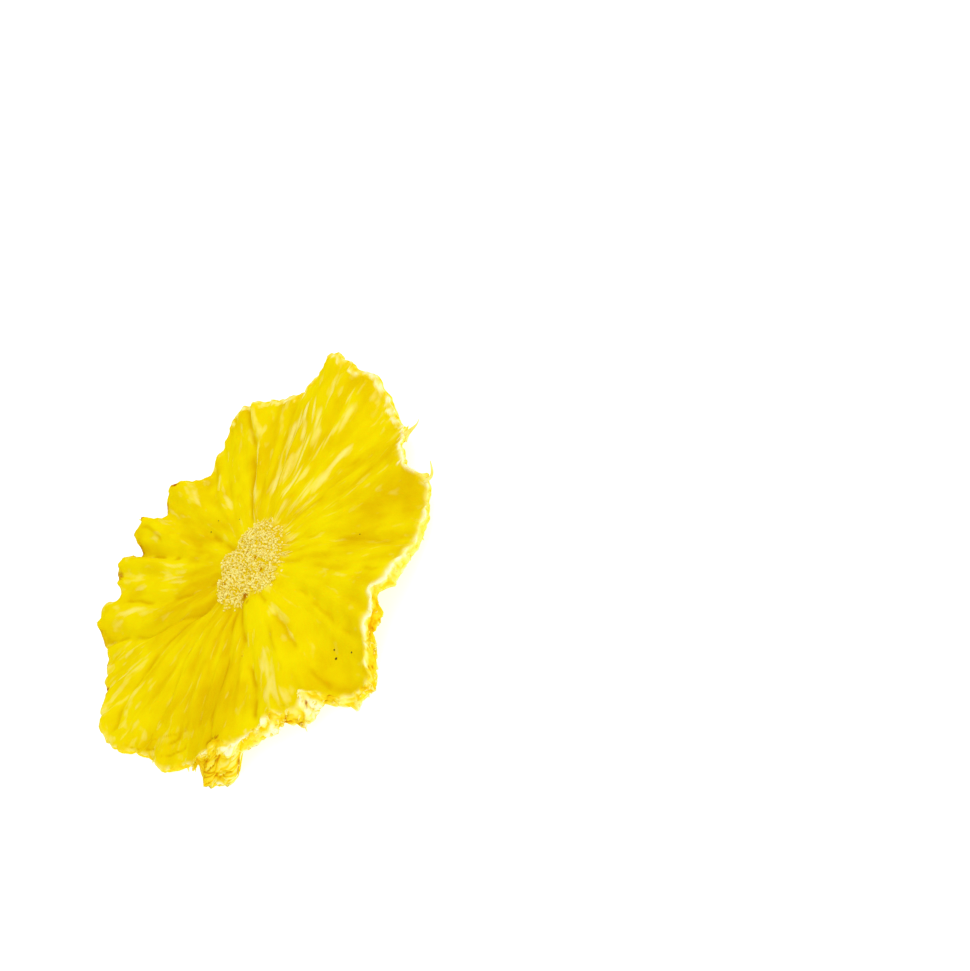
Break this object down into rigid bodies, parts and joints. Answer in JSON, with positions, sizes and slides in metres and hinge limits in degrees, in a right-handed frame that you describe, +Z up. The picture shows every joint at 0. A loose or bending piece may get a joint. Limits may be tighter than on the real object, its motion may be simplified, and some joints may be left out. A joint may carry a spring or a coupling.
{
  "type": "dried pineapple slice",
  "caption": "Dried pineapple slice with its fibrous core left in: a thin wavy disc with a lobed, crinkled edge and one torn tab, lying flat.",
  "frame": {"origin": "centre of the slice's box in plan, at the height of the surface it lies on", "axes": "+Z up out of the shown cut face; -Y towards the viewer, the side with the torn tab; +X to the viewer's right"},
  "size_m": [0.0812, 0.0822, 0.0076],
  "materials": {
    "dried_flesh": "dried fruit flesh: strong yellow, slightly translucent, with a soft gloss on the fibre ridges",
    "dried_core": "dried woody core: pale cream, matt, with broken fibre ends",
    "dried_rim": "dried cut edge: pale cream yellow, crinkled, with brown spots"
  },
  "bodies": {
    "root": {"dried_slice": "dried_flesh"}
  },
  "joints": []
}
